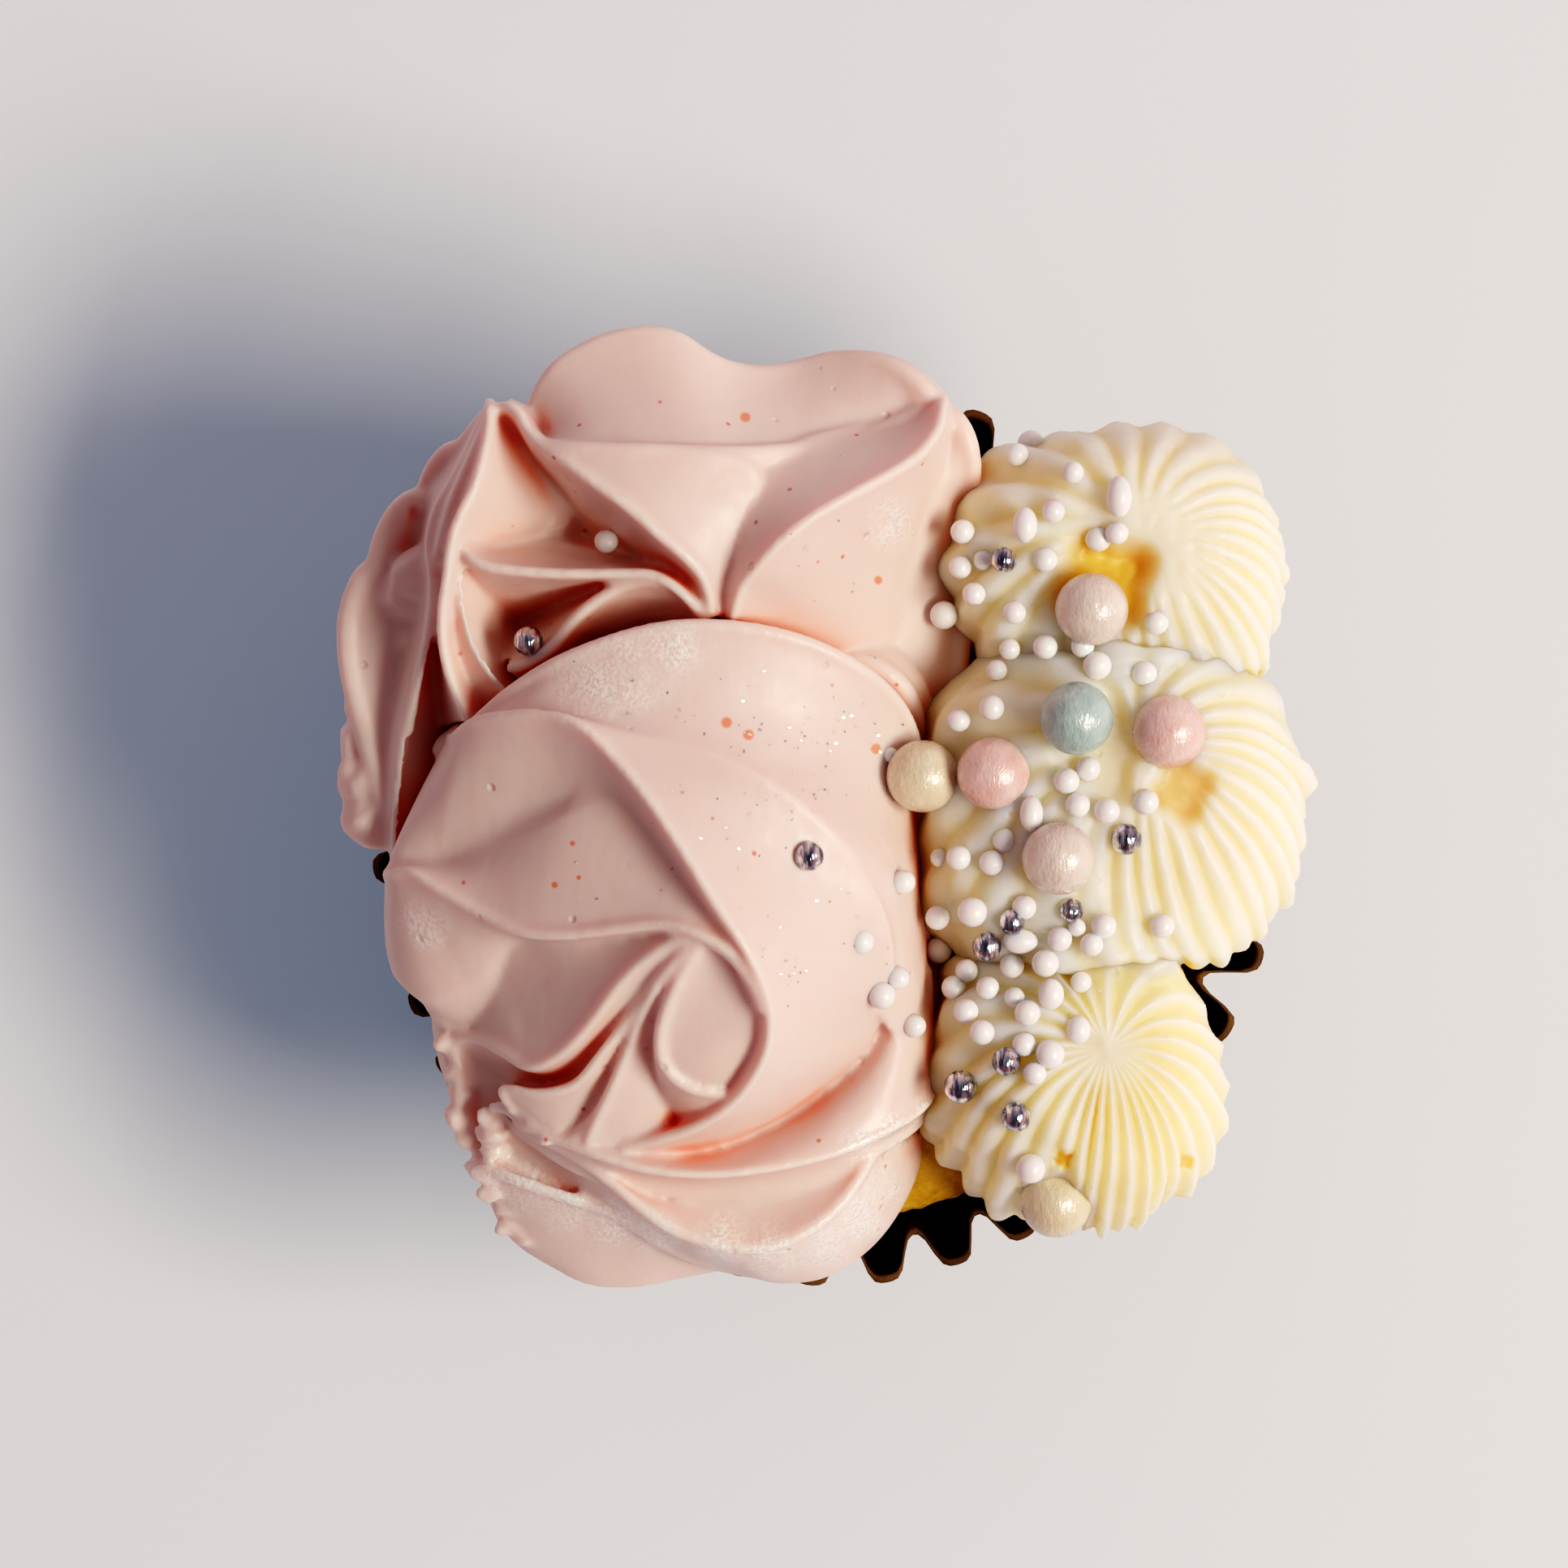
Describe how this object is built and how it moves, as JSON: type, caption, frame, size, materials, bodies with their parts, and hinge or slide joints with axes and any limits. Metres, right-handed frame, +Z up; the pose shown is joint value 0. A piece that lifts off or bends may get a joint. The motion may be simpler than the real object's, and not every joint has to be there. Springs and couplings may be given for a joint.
{
  "type": "cupcake",
  "caption": "Cupcake in a fluted paper case, topped with piped pink buttercream rosettes, small yellow star drops and sugar pearls.",
  "frame": {"origin": "the middle of the paper case's flat base, on the surface that the cupcake stands on", "axes": "+Z up through the icing; the two pink rosettes lie on the -X side, one towards -Y and one towards +Y, and the three yellow stars lie in a row along Y on the +X side"},
  "size_m": [0.0772, 0.0772, 0.0676],
  "materials": {
    "case_paper": "satin",
    "sponge_crumb": "matte",
    "pink_icing": "satin",
    "yellow_icing": "satin",
    "white_pearl": "gloss",
    "blue_pearl": "gloss",
    "pink_pearl": "gloss",
    "cream_pearl": "gloss",
    "white_sugar": "satin",
    "silver_sugar": "polished"
  },
  "bodies": {
    "root": {"paper_case": "case_paper", "sponge": "sponge_crumb", "pink_rosette_front": "pink_icing", "pink_rosette_back": "pink_icing", "yellow_star_middle": "yellow_icing", "yellow_star_back": "yellow_icing", "yellow_star_front": "yellow_icing", "pearl_white_back": "white_pearl", "pearl_blue": "blue_pearl", "pearl_pink_right": "pink_pearl", "pearl_pink_left": "pink_pearl", "pearl_cream_left": "cream_pearl", "pearl_white_middle": "white_pearl", "pearl_cream_front": "cream_pearl"}
  },
  "joints": []
}
